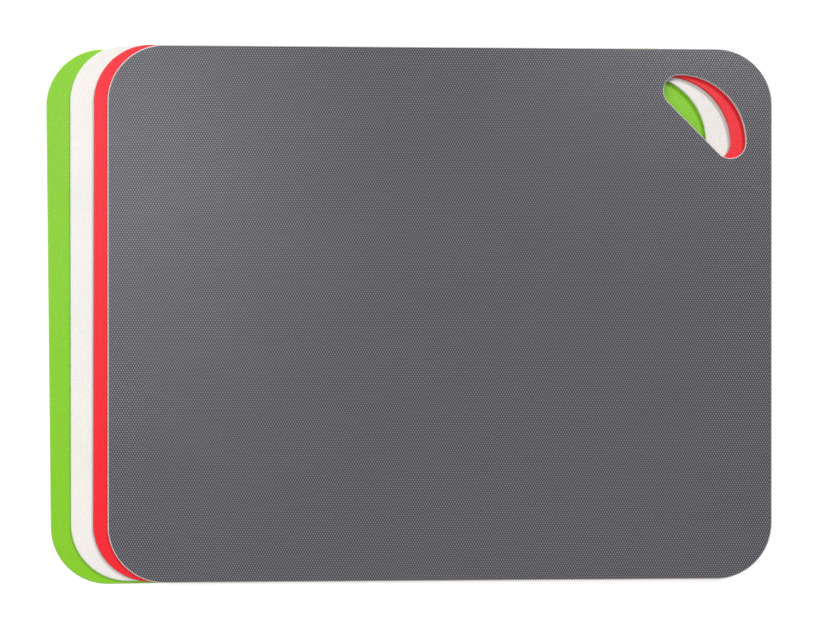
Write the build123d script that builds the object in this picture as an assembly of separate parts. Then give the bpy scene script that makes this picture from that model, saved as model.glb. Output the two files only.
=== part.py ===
from build123d import *
import math
import os

# A set of four flexible cutting mats, stacked and fanned out to the left: green at the bottom, then white,
# red and grey. Sizes are in millimetres. The stack lies flat: +X to the right, +Y to the back, +Z up.
# The origin is under the middle of the stack's footprint, on the surface that the stack lies on.

# One mat: a die-cut sheet of embossed plastic
mat_length = 381.0
mat_depth = 306.2
sheet_thickness = 1.2
corner_radius = 32.6
edge_rounding = 0.2

# The hand and hanging hole: a D whose round side faces the mat's back right corner
hole_setback = 37.9  # from the corner point of the mat's outline to the round side, along the diagonal
green_hole_setback = 38.9  # the green mat's hole lies a little further in
hole_width = 26.9  # from the round side to the straight side
hole_arc_radius = 38.7
hole_corner_radius = 9.1

# The fan: how far each mat lies to the right of the one below it, how far the white one slid to the back,
# and how each one is turned, in degrees
white_step = 13.1
red_step = 13.4
grey_step = 8.5
white_slip = 0.7
green_turn = 0.57
white_turn = 0.07
red_turn = -0.14
grey_turn = 0.0

# The top mat's bending strips: the flat middle one, and those between it and the two flat edge strips
bending_strips_a_side = 4
edge_strip_margin = 4.0  # from the hand hole to the first bend line
cutting_overrun = 5.0

HALF_TURN_DEG = 180.0
DIAGONAL_DEG = 45.0


def hole_reach():
    """How far the hand hole reaches from the mat's back edge."""
    arc_centre = hole_setback + hole_arc_radius
    corner_centre = hole_setback + hole_width - hole_corner_radius
    inner_radius = hole_arc_radius - hole_corner_radius
    corner_offset = math.sqrt(inner_radius**2 - (arc_centre - corner_centre) ** 2)
    return (corner_centre + corner_offset) * math.cos(math.radians(DIAGONAL_DEG)) + hole_corner_radius


def hand_hole(setback):
    """The D outline, in the mat's own plane: a disc cut off straight, with its two corners rounded."""
    disc = Pos(setback + hole_arc_radius, 0) * Circle(hole_arc_radius)
    kept_square = Rectangle(2 * hole_arc_radius, 2 * hole_arc_radius)
    kept_side = Pos(setback + hole_width - hole_arc_radius, 0) * kept_square
    outline = disc & kept_side
    outline = fillet(outline.vertices(), hole_corner_radius)
    into_the_mat = Rot(0, 0, HALF_TURN_DEG + DIAGONAL_DEG)
    return Pos(mat_length / 2, mat_depth / 2) * into_the_mat * outline


def mat_sheet(setback=hole_setback):
    """One whole mat, lying on z = 0 with its middle over the origin."""
    outline = RectangleRounded(mat_length, mat_depth, corner_radius) - hand_hole(setback)
    sheet = extrude(outline, amount=sheet_thickness)
    faces = sheet.faces().sort_by(Axis.Z)
    return fillet(faces[0].edges() + faces[-1].edges(), edge_rounding)


def half_span(along, across, turn_deg):
    """Half the width that a rounded rectangle covers along one axis, once it is turned a little."""
    turn = math.radians(abs(turn_deg))
    straight = (along / 2 - corner_radius) * math.cos(turn) + (across / 2 - corner_radius) * math.sin(turn)
    return straight + corner_radius


def strip_bounds():
    """The bend lines of the top mat, from its front edge to its back edge, as the strips' y limits."""
    edge_strip = hole_reach() + edge_strip_margin
    first_line = edge_strip - mat_depth / 2
    strip_count = 2 * bending_strips_a_side + 1
    strip_depth = (mat_depth - 2 * edge_strip) / strip_count
    lines = [first_line + strip_depth * line for line in range(strip_count + 1)]
    return [-mat_depth / 2 - cutting_overrun] + lines + [mat_depth / 2 + cutting_overrun]


def strip_names():
    """The strips' names, in the order of strip_bounds."""
    steps = range(1, bending_strips_a_side + 1)
    front = ["grey_mat_front_edge"] + [f"grey_mat_front_strip_{step}" for step in reversed(steps)]
    back = [f"grey_mat_back_strip_{step}" for step in steps] + ["grey_mat_back_edge"]
    return front + ["grey_mat_middle"] + back


def cut_into_strips(sheet):
    """The sheet's strips, side by side. They meet face to face along the bend lines."""
    bounds = strip_bounds()
    strips = {}
    for name, low, high in zip(strip_names(), bounds[:-1], bounds[1:]):
        slab = Box(mat_length + 2 * cutting_overrun, high - low, sheet_thickness + 2 * cutting_overrun)
        strips[name] = sheet & (Pos(0, (low + high) / 2, sheet_thickness / 2) * slab)
    return strips


# Where each mat lies, from the bottom up: its name, its place along X and Y, and its turn
white_place = white_step
red_place = white_place + red_step
grey_place = red_place + grey_step
mats = [
    ("green_mat", 0.0, 0.0, green_turn),
    ("white_mat", white_place, white_slip, white_turn),
    ("red_mat", red_place, 0.0, red_turn),
    ("grey_mat", grey_place, 0.0, grey_turn),
]
left_end = min(place - half_span(mat_length, mat_depth, turn) for _, place, _, turn in mats)
right_end = max(place + half_span(mat_length, mat_depth, turn) for _, place, _, turn in mats)
footprint_middle = (left_end + right_end) / 2

pieces = {}
for level, (name, place, slip, turn) in enumerate(mats):
    seat = Pos(place - footprint_middle, slip, level * sheet_thickness) * Rot(0, 0, turn)
    if name == "grey_mat":
        for strip_name, strip in cut_into_strips(mat_sheet()).items():
            pieces[strip_name] = seat * strip
    elif name == "green_mat":
        pieces[name] = seat * mat_sheet(green_hole_setback)
    else:
        pieces[name] = seat * mat_sheet()

os.makedirs("parts", exist_ok=True)
for name, piece in pieces.items():
    export_step(piece, f"parts/{name}.step")

print("hand hole reaches", round(hole_reach(), 3), "mm from the back edge")
print("bend lines", [round(line, 3) for line in strip_bounds()[1:-1]])
print("mat places", [(name, round(place - footprint_middle, 3)) for name, place, _, _ in mats])
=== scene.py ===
import math

import bmesh
import bpy
from mathutils import Matrix, Vector


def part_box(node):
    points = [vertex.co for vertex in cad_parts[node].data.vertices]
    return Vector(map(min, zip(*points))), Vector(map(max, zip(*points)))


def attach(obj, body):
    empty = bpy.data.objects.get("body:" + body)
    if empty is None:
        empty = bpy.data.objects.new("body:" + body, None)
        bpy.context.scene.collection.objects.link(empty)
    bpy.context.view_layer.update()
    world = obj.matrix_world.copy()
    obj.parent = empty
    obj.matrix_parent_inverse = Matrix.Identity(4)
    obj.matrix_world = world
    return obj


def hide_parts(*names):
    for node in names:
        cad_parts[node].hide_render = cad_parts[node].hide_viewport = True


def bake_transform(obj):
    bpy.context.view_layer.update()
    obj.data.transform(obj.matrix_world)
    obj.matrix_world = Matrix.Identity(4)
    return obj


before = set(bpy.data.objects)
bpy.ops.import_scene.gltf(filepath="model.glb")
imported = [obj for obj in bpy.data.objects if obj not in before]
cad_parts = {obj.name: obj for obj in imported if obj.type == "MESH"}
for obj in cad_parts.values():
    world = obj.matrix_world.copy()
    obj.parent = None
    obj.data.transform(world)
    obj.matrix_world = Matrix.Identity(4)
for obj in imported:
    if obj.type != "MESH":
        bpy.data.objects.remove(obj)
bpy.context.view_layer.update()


# The camera: it hangs over the middle of the fanned mats and looks straight down, a hair off plumb to the left.
# Its lens, height and tilt are those at which the mats' known sizes fall on the photograph's edges.
FRAME_WIDTH_PX = 825
FOCAL_LENGTH_PX = 700.0
SENSOR_MM = 36.0
CAMERA_HEIGHT = 0.4002
CAMERA_AIM = Vector((0.000675, 0.00253, 0.0048))
CAMERA_TILT_X = math.radians(-0.042)
CAMERA_TILT_Y = math.radians(-1.100)

lens = bpy.data.cameras.new("copy_stand_lens")
lens.sensor_fit = "HORIZONTAL"
lens.sensor_width = SENSOR_MM
lens.lens = SENSOR_MM * FOCAL_LENGTH_PX / FRAME_WIDTH_PX
lens.clip_start = 0.01
lens.clip_end = 50.0
camera = bpy.data.objects.new("copy_stand_camera", lens)
aim_turn = Matrix.Rotation(CAMERA_TILT_X, 4, "X") @ Matrix.Rotation(CAMERA_TILT_Y, 4, "Y")
camera.matrix_world = Matrix.Translation(CAMERA_AIM) @ aim_turn @ Matrix.Translation((0, 0, CAMERA_HEIGHT))
bpy.context.scene.collection.objects.link(camera)
bpy.context.scene.camera = camera


# The studio: the mats lie on a white table under soft white light. The key comes from the back right, low enough
# to draw the mats' edges. A large softbox three metres off to the left lays a sheen on the top mat, which fades
# towards its right.
TABLE_HALF_WIDTH = 3.0
TABLE_DROP = 0.0001
TABLE_GLOW = 0.55
KEY_ELEVATION = math.radians(27)
KEY_BEARING = math.radians(43)
KEY_STRENGTH = 2.6
KEY_ANGLE = math.radians(14)
SOFTBOX_PLACE = Vector((-2.16, 0.79, 1.93))
SOFTBOX_SIZE = 1.6
SOFTBOX_POWER = 46.0
ROOM_LIGHT = 0.275


def linear(hex_colour):
    """An sRGB hex value as the linear colour that Blender's sockets take."""
    channels = [int(hex_colour[i:i + 2], 16) / 255 for i in (0, 2, 4)]
    return tuple(c / 12.92 if c <= 0.04045 else ((c + 0.055) / 1.055) ** 2.4 for c in channels) + (1.0,)


def add(tree, kind, values=(), **settings):
    """One node with its settings. A value for an input is a number, or the socket that feeds it."""
    node = tree.nodes.new(kind)
    for name, setting in settings.items():
        setattr(node, name, setting)
    for socket, value in dict(values).items():
        if isinstance(value, bpy.types.NodeSocket):
            tree.links.new(value, node.inputs[socket])
        else:
            node.inputs[socket].default_value = value
    return node


def bare_material(name):
    """A new material and its tree, with nothing in it yet."""
    material = bpy.data.materials.new(name)
    material.use_nodes = True
    material.node_tree.nodes.clear()
    return material, material.node_tree


def seen_directly(tree):
    """1 where the camera, a gloss or a clear part sees the surface itself, and 0 where it only lights others."""
    path = add(tree, "ShaderNodeLightPath").outputs
    either = add(tree, "ShaderNodeMath", {0: path["Is Camera Ray"], 1: path["Is Glossy Ray"]}, operation="MAXIMUM")
    return add(
        tree, "ShaderNodeMath", {0: either.outputs[0], 1: path["Is Transmission Ray"]}, operation="MAXIMUM",
    ).outputs[0]


# painted board, matt and even, that glows only where it is looked at, so that the background is white
table_paint, nodes = bare_material("white_painted_table")
paint = add(nodes, "ShaderNodeBsdfDiffuse", {"Color": linear("F2F2F2")})
glow = add(nodes, "ShaderNodeEmission", {"Color": linear("FFFFFF"), "Strength": TABLE_GLOW})
whitened = add(nodes, "ShaderNodeAddShader", {0: paint.outputs[0], 1: glow.outputs[0]})
shown = add(nodes, "ShaderNodeMixShader", {0: seen_directly(nodes), 1: paint.outputs[0], 2: whitened.outputs[0]})
add(nodes, "ShaderNodeOutputMaterial", {"Surface": shown.outputs[0]})

bm = bmesh.new()
bm.faces.new([
    bm.verts.new((x * TABLE_HALF_WIDTH, y * TABLE_HALF_WIDTH, -TABLE_DROP))
    for x, y in ((-1, -1), (1, -1), (1, 1), (-1, 1))
])
table_mesh = bpy.data.meshes.new("studio_table")
bm.to_mesh(table_mesh)
bm.free()
table_mesh.materials.append(table_paint)
table = bpy.data.objects.new("studio_table", table_mesh)
bpy.context.scene.collection.objects.link(table)

room = bpy.data.worlds.new("white_room")
room.use_nodes = True
nodes = room.node_tree
nodes.nodes.clear()
soft_light = add(nodes, "ShaderNodeBackground", {"Color": linear("FFFFFF"), "Strength": ROOM_LIGHT})
white_wall = add(nodes, "ShaderNodeBackground", {"Color": linear("FFFFFF"), "Strength": 1.0})
shown = add(nodes, "ShaderNodeMixShader", {
    0: seen_directly(nodes), 1: soft_light.outputs[0], 2: white_wall.outputs[0],
})
add(nodes, "ShaderNodeOutputWorld", {"Surface": shown.outputs[0]})
bpy.context.scene.world = room

key = bpy.data.lights.new("key_light", "SUN")
key.energy = KEY_STRENGTH
key.angle = KEY_ANGLE
key_lamp = bpy.data.objects.new("key_light", key)
towards_key = Vector((
    math.cos(KEY_ELEVATION) * math.cos(KEY_BEARING),
    math.cos(KEY_ELEVATION) * math.sin(KEY_BEARING),
    math.sin(KEY_ELEVATION),
))
key_lamp.rotation_euler = towards_key.to_track_quat("Z", "Y").to_euler()
bpy.context.scene.collection.objects.link(key_lamp)

softbox = bpy.data.lights.new("left_softbox", "AREA")
softbox.shape = "SQUARE"
softbox.size = SOFTBOX_SIZE
softbox.energy = SOFTBOX_POWER
softbox_lamp = bpy.data.objects.new("left_softbox", softbox)
softbox_lamp.location = SOFTBOX_PLACE
softbox_lamp.rotation_euler = SOFTBOX_PLACE.to_track_quat("Z", "Y").to_euler()
bpy.context.scene.collection.objects.link(softbox_lamp)

bpy.context.scene.view_settings.view_transform = "Standard"


# The green mat, the lowest of the four, and the way that all four are made: a 1.2 mm web of polypropylene is
# embossed with staggered dots between rollers, and each mat is punched out of it together with its D-shaped hand
# hole. The punch rolls the rim down and strains the plastic there. The underside stays plain, with a matt grain.
MAT_LENGTH = 0.381
MAT_DEPTH = 0.3062
SHEET_THICKNESS = 0.0012
CORNER_RADIUS = 0.0326
HOLE_SETBACK = 0.0379
GREEN_HOLE_SETBACK = 0.0389
HOLE_WIDTH = 0.0269
HOLE_ARC_RADIUS = 0.0387
HOLE_CORNER_RADIUS = 0.0091
DOT_SPACING = 0.00140
DOT_ROW_SPACING = 0.00128
EMBOSS_DEPTH = 0.00012
RIM_WIDTH = 0.0009
RIM_DROP = 0.00042
HOLE_RIM_WIDTH = 0.0005
HOLE_RIM_DROP = 0.00035
UNDERSIDE_ROUNDING = 0.0002
PUNCH_OVERRUN = 0.0005
CORNER_STEPS = 24
HOLE_ARC_STEPS = 48
HOLE_CORNER_STEPS = 16
SAME_PLACE = 1e-7


def arc(centre, start, sweep, radius, steps):
    """Points along an arc in the mat's plane."""
    turns = [start + sweep * step / steps for step in range(steps + 1)]
    return [(centre[0] + radius * math.cos(turn), centre[1] + radius * math.sin(turn)) for turn in turns]


def mat_outline(inset):
    """The mat's rounded outline, moved inwards by the inset."""
    points = []
    for side_x, side_y, start in ((1, 1, 0), (-1, 1, 90), (-1, -1, 180), (1, -1, 270)):
        centre = (side_x * (MAT_LENGTH / 2 - CORNER_RADIUS), side_y * (MAT_DEPTH / 2 - CORNER_RADIUS))
        points += arc(centre, math.radians(start), math.radians(90), CORNER_RADIUS - inset, CORNER_STEPS)
    return points


def hand_hole_outline(outset, hole_setback):
    """The D of the hand hole, moved outwards. It is drawn along the diagonal from the mat's back right corner."""
    arc_at = hole_setback + HOLE_ARC_RADIUS
    corner_at = hole_setback + HOLE_WIDTH - HOLE_CORNER_RADIUS
    corner_off = math.sqrt((HOLE_ARC_RADIUS - HOLE_CORNER_RADIUS) ** 2 - (arc_at - corner_at) ** 2)
    half_arc = math.atan2(corner_off, arc_at - corner_at)
    corner_sweep = half_arc - math.pi
    corner_radius = HOLE_CORNER_RADIUS + outset
    points = arc((arc_at, 0), math.pi + half_arc, -2 * half_arc, HOLE_ARC_RADIUS + outset, HOLE_ARC_STEPS)
    points += arc((corner_at, corner_off), -corner_sweep, corner_sweep, corner_radius, HOLE_CORNER_STEPS)
    points += arc((corner_at, -corner_off), 0, corner_sweep, corner_radius, HOLE_CORNER_STEPS)
    diagonal = math.sqrt(2)
    return [
        (MAT_LENGTH / 2 - (along + across) / diagonal, MAT_DEPTH / 2 - (along - across) / diagonal)
        for along, across in points
    ]


def punched_blank(hole_setback, bend_rows=()):
    """The body that the punch leaves, with a sloping rim that runs on above the sheet, for the emboss to be cut
    into. bend_rows are the y values at which a sheet that has to bend gets extra edges on its plain faces."""
    bm = bmesh.new()
    for edge_line, rim_width, rim_drop in (
        (mat_outline, RIM_WIDTH, RIM_DROP),
        (lambda outset: hand_hole_outline(outset, hole_setback), HOLE_RIM_WIDTH, HOLE_RIM_DROP),
    ):
        section = [
            (UNDERSIDE_ROUNDING, 0.0),
            (0.0, UNDERSIDE_ROUNDING),
            (0.0, SHEET_THICKNESS - rim_drop),
            (rim_width * (1 + PUNCH_OVERRUN / rim_drop), SHEET_THICKNESS + PUNCH_OVERRUN),
        ]
        rings = [[bm.verts.new((x, y, height)) for x, y in edge_line(offset)] for offset, height in section]
        for lower, upper in zip(rings[:-1], rings[1:]):
            for here in range(len(lower)):
                after = (here + 1) % len(lower)
                bm.faces.new((lower[here], lower[after], upper[after], upper[here]))
    bmesh.ops.remove_doubles(bm, verts=bm.verts, dist=SAME_PLACE)
    for height in (0.0, SHEET_THICKNESS + PUNCH_OVERRUN):
        rim = [
            edge for edge in bm.edges
            if edge.is_boundary and all(abs(corner.co.z - height) < SAME_PLACE for corner in edge.verts)
        ]
        bmesh.ops.triangle_fill(bm, use_beauty=False, use_dissolve=False, edges=rim)
    for row in bend_rows:
        everything = bm.verts[:] + bm.edges[:] + bm.faces[:]
        bmesh.ops.bisect_plane(bm, geom=everything, plane_co=(0, row, 0), plane_no=(0, 1, 0))
    bmesh.ops.recalc_face_normals(bm, faces=bm.faces)
    mesh = bpy.data.meshes.new("punched_blank")
    bm.to_mesh(mesh)
    bm.free()
    punched = mesh.attributes.new("punched", "FLOAT", "FACE")
    punched.data.foreach_set("value", [1.0] * len(mesh.polygons))
    blank = bpy.data.objects.new("punched_blank", mesh)
    bpy.context.scene.collection.objects.link(blank)
    return blank


# The embossing rollers as a node tree: a lattice of four-sided dots, staggered by half a spacing from row to row,
# is laid over the blank between two ends, and what the two have in common is the sheet. The lattice has columns
# and rows to spare, and the box that spans the two ends is longer and much taller than a mat.
SPARE_COLUMNS = 2.0
SPARE_ROWS = 1.0
SPAN_LENGTH_FACTOR = 1.2
SPAN_HEIGHT_FACTOR = 10.0
UNDERSIDE_ZONE = 0.3
PLAIN_SIDE_HEIGHT = 0.4
FACING_DOWN = -0.9
WELD = 1e-6

rollers = bpy.data.node_groups.new("embossing_rollers", "GeometryNodeTree")
for socket, kind in (
    ("Blank", "Geometry"), ("Sheet Length", "Float"), ("Thickness", "Float"),
    ("Dot Spacing", "Float"), ("Row Spacing", "Float"), ("Emboss Depth", "Float"),
    ("Front End", "Float"), ("Back End", "Float"), ("Face Plastic", "Material"), ("Rim Plastic", "Material"),
):
    rollers.interface.new_socket(socket, in_out="INPUT", socket_type=f"NodeSocket{kind}")
rollers.interface.new_socket("Sheet", in_out="OUTPUT", socket_type="NodeSocketGeometry")


def calc(operation, *values):
    """The result of one sum in the rollers' tree."""
    return add(rollers, "ShaderNodeMath", enumerate(values), operation=operation).outputs[0]


given = add(rollers, "NodeGroupInput").outputs
half_spacing = calc("DIVIDE", given["Dot Spacing"], 2.0)
columns_needed = calc("CEIL", calc("DIVIDE", given["Sheet Length"], given["Dot Spacing"]))
columns_a_side = calc("ADD", columns_needed, SPARE_COLUMNS)
columns = calc("ADD", calc("MULTIPLY", columns_a_side, 2.0), 1.0)
first_row = calc("SUBTRACT", calc("FLOOR", calc("DIVIDE", given["Front End"], given["Row Spacing"])), SPARE_ROWS)
last_row = calc("ADD", calc("CEIL", calc("DIVIDE", given["Back End"], given["Row Spacing"])), SPARE_ROWS)
rows = calc("ADD", calc("SUBTRACT", last_row, first_row), 1.0)
lattice = add(rollers, "GeometryNodeMeshGrid", {
    "Size X": calc("MULTIPLY", columns_a_side, given["Dot Spacing"]),
    "Size Y": calc("MULTIPLY", calc("SUBTRACT", rows, 1.0), given["Row Spacing"]),
    "Vertices X": columns, "Vertices Y": rows,
})
lattice_middle = add(rollers, "ShaderNodeCombineXYZ", {
    "Y": calc("MULTIPLY", calc("ADD", first_row, last_row), calc("DIVIDE", given["Row Spacing"], 2.0)),
    "Z": calc("MULTIPLY", given["Thickness"], -1.0),
})
laid = add(rollers, "GeometryNodeTransform", {
    "Geometry": lattice.outputs["Mesh"], "Translation": lattice_middle.outputs[0],
})

# every other corner of the lattice is a dot's top, and the cells are split so that each dot has four even sides
place = add(rollers, "ShaderNodeSeparateXYZ", {0: add(rollers, "GeometryNodeInputPosition").outputs[0]}).outputs
column_place = calc("DIVIDE", place["X"], half_spacing)
row_place = calc("DIVIDE", place["Y"], given["Row Spacing"])
between_dots = calc("FLOORED_MODULO", calc("ADD", calc("ROUND", column_place), calc("ROUND", row_place)), 2.0)
odd_cell = calc("FLOORED_MODULO", calc("ADD", calc("FLOOR", column_place), calc("FLOOR", row_place)), 2.0)
odd_split = add(rollers, "GeometryNodeTriangulate", {
    "Mesh": laid.outputs[0], "Selection": calc("GREATER_THAN", odd_cell, 0.5),
}, quad_method="FIXED")
split = add(rollers, "GeometryNodeTriangulate", {"Mesh": odd_split.outputs[0]}, quad_method="FIXED_ALTERNATE")

# the lattice is drawn up into a closed web, and its upper face sinks between the dots
rise = add(rollers, "ShaderNodeCombineXYZ", {"Z": calc("MULTIPLY", given["Thickness"], 2.0)})
raised = add(rollers, "GeometryNodeExtrudeMesh", {
    "Mesh": split.outputs[0], "Offset": rise.outputs[0], "Individual": False,
})
floor_of_web = add(rollers, "GeometryNodeFlipFaces", {"Mesh": split.outputs[0]})
web = add(rollers, "GeometryNodeJoinGeometry", {"Geometry": raised.outputs["Mesh"]})
rollers.links.new(floor_of_web.outputs[0], web.inputs["Geometry"])
closed_web = add(rollers, "GeometryNodeMergeByDistance", {"Geometry": web.outputs[0], "Distance": WELD})
sinking = calc("MULTIPLY", between_dots, calc("MULTIPLY", given["Emboss Depth"], -1.0))
embossed = add(rollers, "GeometryNodeSetPosition", {
    "Geometry": closed_web.outputs[0], "Selection": calc("GREATER_THAN", place["Z"], 0.0),
    "Offset": add(rollers, "ShaderNodeCombineXYZ", {"Z": sinking}).outputs[0],
})

# the stretch between the two ends, the web and the blank are cut down to what they share
span = add(rollers, "ShaderNodeCombineXYZ", {
    "X": calc("MULTIPLY", given["Sheet Length"], SPAN_LENGTH_FACTOR),
    "Y": calc("SUBTRACT", given["Back End"], given["Front End"]),
    "Z": calc("MULTIPLY", given["Thickness"], SPAN_HEIGHT_FACTOR),
})
span_middle = add(rollers, "ShaderNodeCombineXYZ", {
    "Y": calc("MULTIPLY", calc("ADD", given["Front End"], given["Back End"]), 0.5),
})
span_box = add(rollers, "GeometryNodeMeshCube", {"Size": span.outputs[0]})
between_ends = add(rollers, "GeometryNodeTransform", {
    "Geometry": span_box.outputs["Mesh"], "Translation": span_middle.outputs[0],
})
sheet = add(
    rollers, "GeometryNodeMeshBoolean", {"Mesh 2": between_ends.outputs[0]}, operation="INTERSECT", solver="MANIFOLD",
)
rollers.links.new(embossed.outputs[0], sheet.inputs["Mesh 2"])
rollers.links.new(given["Blank"], sheet.inputs["Mesh 2"])

# the plastic reads how high up a dot it is, from 0 in the hollows to 1 on top, and the plain underside counts as
# partway up, so that it has the colour that the dots and hollows have together
valley_height = calc("SUBTRACT", given["Thickness"], given["Emboss Depth"])
height_on_dot = calc("DIVIDE", calc("SUBTRACT", place["Z"], valley_height), given["Emboss Depth"])
underside = calc("LESS_THAN", place["Z"], calc("MULTIPLY", given["Thickness"], UNDERSIDE_ZONE))
lowest = calc("MULTIPLY", underside, PLAIN_SIDE_HEIGHT)
dotted = add(rollers, "GeometryNodeStoreNamedAttribute", {
    "Geometry": sheet.outputs[0], "Name": "dot_height",
    "Value": calc("MINIMUM", calc("MAXIMUM", height_on_dot, lowest), 1.0),
}, data_type="FLOAT", domain="POINT")
one_sheet = add(rollers, "GeometryNodeRealizeInstances", {0: dotted.outputs[0]})
faced = add(rollers, "GeometryNodeSetMaterial", {
    "Geometry": one_sheet.outputs[0], "Material": given["Face Plastic"],
})
facing = add(rollers, "ShaderNodeSeparateXYZ", {0: add(rollers, "GeometryNodeInputNormal").outputs[0]}).outputs
punched_face = add(rollers, "GeometryNodeInputNamedAttribute", {"Name": "punched"}, data_type="FLOAT").outputs[0]
cut = calc("MULTIPLY", calc("GREATER_THAN", punched_face, 0.5), calc("GREATER_THAN", facing["Z"], FACING_DOWN))
rimmed = add(rollers, "GeometryNodeSetMaterial", {
    "Geometry": faced.outputs[0], "Material": given["Rim Plastic"], "Selection": cut,
})
add(rollers, "NodeGroupOutput", {"Sheet": rimmed.outputs[0]})
roller_inputs = {item.name: item.identifier for item in rollers.interface.items_tree if item.in_out == "INPUT"}


def embossed_sheet(name, blank, front, back, seat, face_plastic, rim_plastic):
    """One stretch of a mat, from its front to its back end in the mat's own plane, set down where the mat lies."""
    press = blank.modifiers.new("embossing_rollers", "NODES")
    press.node_group = rollers
    for socket, value in (
        ("Sheet Length", MAT_LENGTH), ("Thickness", SHEET_THICKNESS), ("Dot Spacing", DOT_SPACING),
        ("Row Spacing", DOT_ROW_SPACING), ("Emboss Depth", EMBOSS_DEPTH), ("Front End", front),
        ("Back End", back), ("Face Plastic", face_plastic), ("Rim Plastic", rim_plastic),
    ):
        press[roller_inputs[socket]] = value
    evaluated = blank.evaluated_get(bpy.context.evaluated_depsgraph_get())
    mesh = bpy.data.meshes.new_from_object(evaluated)
    blank.modifiers.remove(press)
    mesh.name = name
    mesh.transform(seat)
    mesh.shade_flat()
    piece = bpy.data.objects.new(name, mesh)
    bpy.context.scene.collection.objects.link(piece)
    return piece


def spread(tree, noise, lowest, highest):
    """A noise's usual range, 0.3 to 0.7, stretched to run from the lowest to the highest value."""
    return add(tree, "ShaderNodeMapRange", {
        "Value": noise, "From Min": 0.3, "From Max": 0.7, "To Min": lowest, "To Max": highest,
    }).outputs[0]


POLYPROPYLENE_IOR = 1.49
CLOUD_SIZE = 0.045
CLOUD_SHADE = 0.025
GRAIN_SIZE = 0.0003
GRAIN_SHADE = 0.03
GRAIN_DULLNESS = 0.05
GRAIN_HEIGHT = 0.00003
# the dot heights over which the hollows' painted shade turns into the tops' painted highlight
PAINTED_LIGHT_FROM = 0.2
PAINTED_LIGHT_TO = 0.6


def embossed_polypropylene(name, colour, lit_dot_colour, roughness):
    """Embossed polypropylene: the rollers leave a dull, waxy skin with a faint, even grain. The hollows between
    the dots carry painted shade and the dots' tops a painted highlight, strongest on the grey mat. It gives a dry,
    soft sheen with tiny bright points."""
    plastic, nodes = bare_material(name)
    at = add(nodes, "ShaderNodeTexCoord").outputs["Object"]
    height = add(nodes, "ShaderNodeAttribute", attribute_name="dot_height").outputs["Fac"]
    # wide, faint clouds in the pigment
    clouds = add(nodes, "ShaderNodeTexNoise", {
        "Vector": at, "Scale": 1 / CLOUD_SIZE, "Detail": 3.0, "Roughness": 0.5,
    }).outputs[0]
    # the grain of the rollers' blasted skin is about 0.05 mm, and is drawn coarser so that it shows
    grain = add(nodes, "ShaderNodeTexNoise", {
        "Vector": at, "Scale": 1 / GRAIN_SIZE, "Detail": 2.0, "Roughness": 0.6,
    }).outputs[0]
    # painted light: from the dot height, the hollows take painted shade and the dots' tops a painted highlight
    painted_dot_light = add(nodes, "ShaderNodeMapRange", {"Value": height, "From Min": PAINTED_LIGHT_FROM, "From Max": PAINTED_LIGHT_TO})
    mixed = add(nodes, "ShaderNodeMix", {
        0: painted_dot_light.outputs[0], 6: linear(colour), 7: linear(lit_dot_colour),
    }, data_type="RGBA")
    cloudy = spread(nodes, clouds, 1 - CLOUD_SHADE, 1 + CLOUD_SHADE)
    grainy = spread(nodes, grain, 1 - GRAIN_SHADE, 1 + GRAIN_SHADE)
    shade = add(nodes, "ShaderNodeMath", {0: cloudy, 1: grainy}, operation="MULTIPLY")
    pigment = add(nodes, "ShaderNodeVectorMath", {0: mixed.outputs[2], "Scale": shade.outputs[0]}, operation="SCALE")
    dullness = spread(nodes, grain, roughness - GRAIN_DULLNESS, roughness + GRAIN_DULLNESS)
    relief = add(nodes, "ShaderNodeBump", {"Height": grain, "Strength": 0.25, "Distance": GRAIN_HEIGHT})
    skin = add(nodes, "ShaderNodeBsdfPrincipled", {
        "Base Color": pigment.outputs[0], "Roughness": dullness, "IOR": POLYPROPYLENE_IOR,
        "Normal": relief.outputs[0],
    })
    add(nodes, "ShaderNodeOutputMaterial", {"Surface": skin.outputs[0]})
    return plastic


STREAK_LENGTH = 0.0006
STREAK_HEIGHT = 0.00004
RIM_ROUGHNESS = 0.4


def punched_polypropylene(name, colour):
    """The punched rim: the punch strains the polypropylene in short uneven streaks along the cut, where most of it
    turns pale and the red turns dull. The grey rim's pale colour is partly a painted highlight along the cut edge,
    and the red rim's darkness is partly painted shade. It gives each mat the thin line that parts it from the mat
    below."""
    plastic, nodes = bare_material(name)
    at = add(nodes, "ShaderNodeTexCoord").outputs["Object"]
    streaks = add(nodes, "ShaderNodeTexNoise", {
        "Vector": at, "Scale": 1 / STREAK_LENGTH, "Detail": 2.0, "Roughness": 0.6,
    }).outputs[0]
    uneven = spread(nodes, streaks, 0.86, 1.04)
    pigment = add(nodes, "ShaderNodeVectorMath", {0: linear(colour)[:3], "Scale": uneven}, operation="SCALE")
    relief = add(nodes, "ShaderNodeBump", {"Height": streaks, "Strength": 0.3, "Distance": STREAK_HEIGHT})
    skin = add(nodes, "ShaderNodeBsdfPrincipled", {
        "Base Color": pigment.outputs[0], "Roughness": RIM_ROUGHNESS, "IOR": POLYPROPYLENE_IOR,
        "Normal": relief.outputs[0],
    })
    add(nodes, "ShaderNodeOutputMaterial", {"Surface": skin.outputs[0]})
    return plastic


def seat_of(node, turn_deg):
    """Where a mat lies: the middle and the underside of its solid, and its turn in the fan."""
    low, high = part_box(node)
    middle = Matrix.Translation(((low.x + high.x) / 2, (low.y + high.y) / 2, low.z))
    return middle @ Matrix.Rotation(math.radians(turn_deg), 4, "Z")


def flat_mat(colour, node, blank, seat, face_plastic, rim_plastic):
    """A mat that stays flat, as a front and a back half that meet along its middle row of dots, which keeps each
    of them light enough for its mesh file."""
    for half, front, back in (("front", -MAT_DEPTH, 0.0), ("back", 0.0, MAT_DEPTH)):
        piece = embossed_sheet(f"{colour}_sheet_{half}", blank, front, back, seat, face_plastic, rim_plastic)
        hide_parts(node)
        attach(piece, node)


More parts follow.
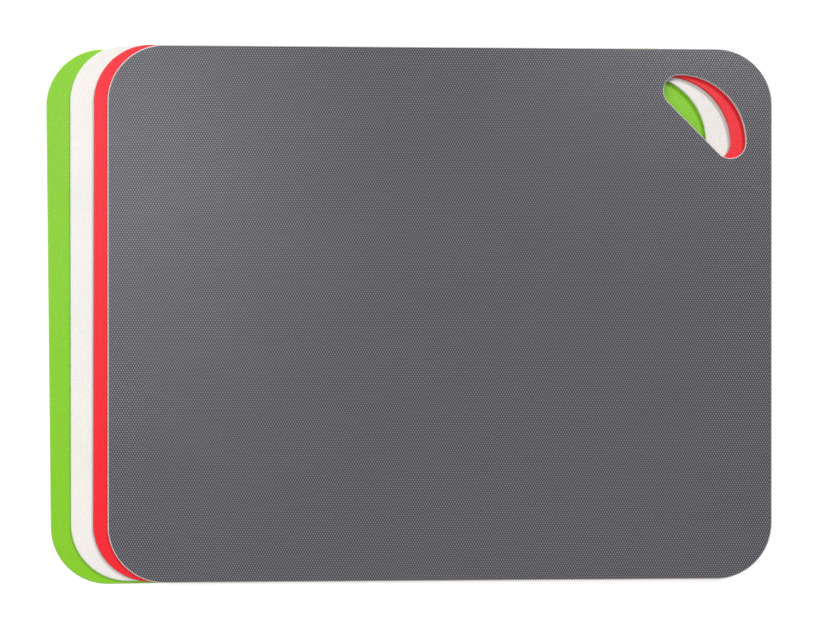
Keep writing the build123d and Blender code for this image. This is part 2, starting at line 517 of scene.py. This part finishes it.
green_blank = punched_blank(GREEN_HOLE_SETBACK)
green_face = embossed_polypropylene("green_embossed_polypropylene", "80C60C", "84CA12", 0.50)
green_rim = punched_polypropylene("green_punched_polypropylene", "A2DC52")
flat_mat("green", "green_mat", green_blank, seat_of("green_mat", 0.57), green_face, green_rim)
bpy.data.objects.remove(green_blank)


# The white mat, second from the bottom: the same punched sheet in opaque, slightly warm white polypropylene.
# It lies loose on the green one and is shifted to the right, so that a strip of the green mat shows at its left.
white_face = embossed_polypropylene("white_embossed_polypropylene", "F0ECE7", "F3EEEA", 0.50)
white_rim = punched_polypropylene("white_punched_polypropylene", "FBF9F7")
flat_blank = punched_blank(HOLE_SETBACK)
flat_mat("white", "white_mat", flat_blank, seat_of("white_mat", 0.07), white_face, white_rim)


# The red mat, third from the bottom: the same punched sheet in bright red polypropylene, loose on the white one.
# It is shifted to the right again, so that a strip of the white mat shows, and its rim is darker than its face,
# partly as painted shade.
red_face = embossed_polypropylene("red_embossed_polypropylene", "F0041E", "F40A26", 0.50)
# the rim's dull colour is strained plastic, and its darkness is partly painted shade
red_rim = punched_polypropylene("red_punched_polypropylene", "DB353A")
flat_mat("red", "red_mat", flat_blank, seat_of("red_mat", -0.14), red_face, red_rim)
bpy.data.objects.remove(flat_blank)


# The grey mat, on top: one continuous punched sheet that curls up into a chute, so it is laid out in ten stretches,
# one over each hinge line that the CAD has. They meet where the bends of two neighbours would agree, so that no
# seam would open if the mat curled. The places and spreads count in halves of one of the CAD's strips.
BEND_ROW_SPACING = 0.0032
SEAM_PAST_HINGE = 1.8
SPREADS = ((-0.56, 2.18), (-2.47, 2.28), (-1.40, 2.22), (-1.69, 2.18), (-4.56, 9.0))

# the near-black first colour is the hollows' painted shade, the light grey second one the dots' painted highlight
grey_face = embossed_polypropylene("grey_embossed_polypropylene", "0D0D12", "83828B", 0.34)
# the pale rim is strained plastic and, in part, a painted highlight along the cut edge
grey_rim = punched_polypropylene("grey_punched_polypropylene", "D8D2D3")
grey_low, grey_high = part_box("grey_mat_middle")
strip_half = (grey_high.y - grey_low.y) / 2
grey_seat = Matrix.Translation(((grey_low.x + grey_high.x) / 2, (grey_low.y + grey_high.y) / 2, grey_low.z))
row_count = math.floor(MAT_DEPTH / 2 / BEND_ROW_SPACING)
bending_blank = punched_blank(HOLE_SETBACK, [row * BEND_ROW_SPACING for row in range(-row_count, row_count + 1)])

for side, way in (("back", 1), ("front", -1)):
    inner_body = "grey_mat_middle"
    for step, (start, end) in enumerate(SPREADS, 1):
        outermost = step == len(SPREADS)
        outer_body = f"grey_mat_{side}_edge" if outermost else f"grey_mat_{side}_strip_{step}"
        hinge_line = (2 * step - 1) * strip_half
        inner_end = hinge_line + (SEAM_PAST_HINGE - 2) * strip_half if step > 1 else 0.0
        outer_end = MAT_DEPTH if outermost else hinge_line + SEAM_PAST_HINGE * strip_half
        front, back = sorted((way * inner_end, way * outer_end))
        piece = embossed_sheet(
            f"grey_sheet_{side}_{step}", bending_blank, front, back, grey_seat, grey_face, grey_rim,
        )
        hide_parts(inner_body, outer_body)
        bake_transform(piece)
        inner_body = outer_body

bpy.data.objects.remove(bending_blank)
